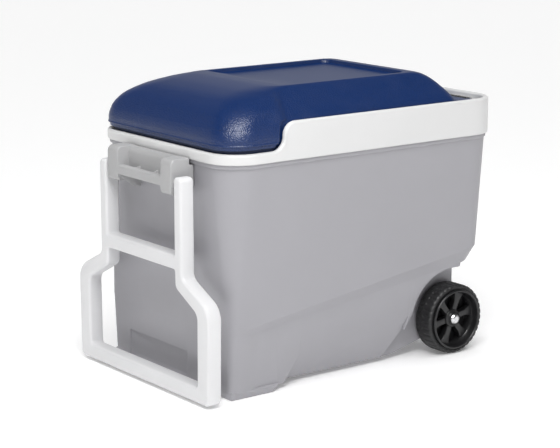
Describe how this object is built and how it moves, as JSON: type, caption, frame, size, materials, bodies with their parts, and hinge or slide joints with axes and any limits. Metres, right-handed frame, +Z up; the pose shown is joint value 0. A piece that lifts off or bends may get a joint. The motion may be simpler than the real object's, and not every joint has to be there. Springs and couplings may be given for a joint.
{
  "type": "wheeled cooler",
  "caption": "Wheeled hard cooler: insulated tub body, hinged domed lid with a shallow tray, carrying bracket, swing-up pull handle and spoked wheels.",
  "frame": {"origin": "on the floor, below the middle of the whole object's box", "axes": "+X runs from the pull handle to the wheels, +Y to the left of someone at the handle who faces the cooler, +Z up"},
  "size_m": [0.597, 0.376, 0.473],
  "materials": {
    "body_grey": "light grey moulded plastic with a fine grain",
    "collar_white": "satin white plastic",
    "liner_white": "smooth white plastic",
    "foam_cream": "rigid insulation foam",
    "lid_blue": "navy blue plastic with a pebble grain",
    "skirt_navy": "dark navy plastic",
    "bracket_grey": "mid grey plastic",
    "handle_white": "white plastic",
    "wheel_black": "satin black plastic",
    "tread_black": "hard black plastic tread",
    "bush_natural": "natural acetal",
    "steel": "zinc-plated steel"
  },
  "bodies": {
    "cooler_body": {"body_shell": "body_grey", "body_foam": "foam_cream", "inner_liner": "liner_white", "rim_collar": "collar_white", "carry_bracket": "bracket_grey", "axle": "steel", "bracket_screw_1": "steel", "bracket_screw_2": "steel", "bracket_screw_3": "steel", "bracket_screw_4": "steel", "hinge_body_leaf_left": "steel", "hinge_pin_left": "steel", "hinge_body_screw_left_1": "steel", "hinge_body_screw_left_2": "steel", "axle_washer_left": "steel", "push_nut_left": "steel", "hinge_body_leaf_right": "steel", "hinge_pin_right": "steel", "hinge_body_screw_right_1": "steel", "hinge_body_screw_right_2": "steel", "axle_washer_right": "steel", "push_nut_right": "steel"},
    "lid": {"lid_shell": "lid_blue", "lid_foam": "foam_cream", "lid_liner": "skirt_navy", "hinge_lid_leaf_left": "steel", "hinge_lid_screw_left_1": "steel", "hinge_lid_screw_left_2": "steel", "hinge_lid_leaf_right": "steel", "hinge_lid_screw_right_1": "steel", "hinge_lid_screw_right_2": "steel"},
    "handle": {"pull_handle": "handle_white", "handle_pin_left": "steel", "handle_pin_right": "steel"},
    "wheel_left": {"wheel_tread_left": "tread_black", "wheel_rim_left": "wheel_black", "wheel_bushing_left": "bush_natural"},
    "wheel_right": {"wheel_tread_right": "tread_black", "wheel_rim_right": "wheel_black", "wheel_bushing_right": "bush_natural"}
  },
  "joints": [
    {"name": "lid_hinge", "type": "hinge", "parent": "cooler_body", "child": "lid", "pos_m": [0.2805, 0, 0.418], "axis": [0, 1, 0], "range_deg": [0, 100]},
    {"name": "handle_swing", "type": "hinge", "parent": "cooler_body", "child": "handle", "pos_m": [-0.2855, 0, 0.334], "axis": [0, 1, 0], "range_deg": [0, 165]},
    {"name": "wheel_spin_left", "type": "hinge", "parent": "cooler_body", "child": "wheel_left", "pos_m": [0.2135, 0.161, 0.059], "axis": [0, 1, 0], "continuous": true},
    {"name": "wheel_spin_right", "type": "hinge", "parent": "cooler_body", "child": "wheel_right", "pos_m": [0.2135, -0.161, 0.059], "axis": [0, 1, 0], "continuous": true}
  ]
}
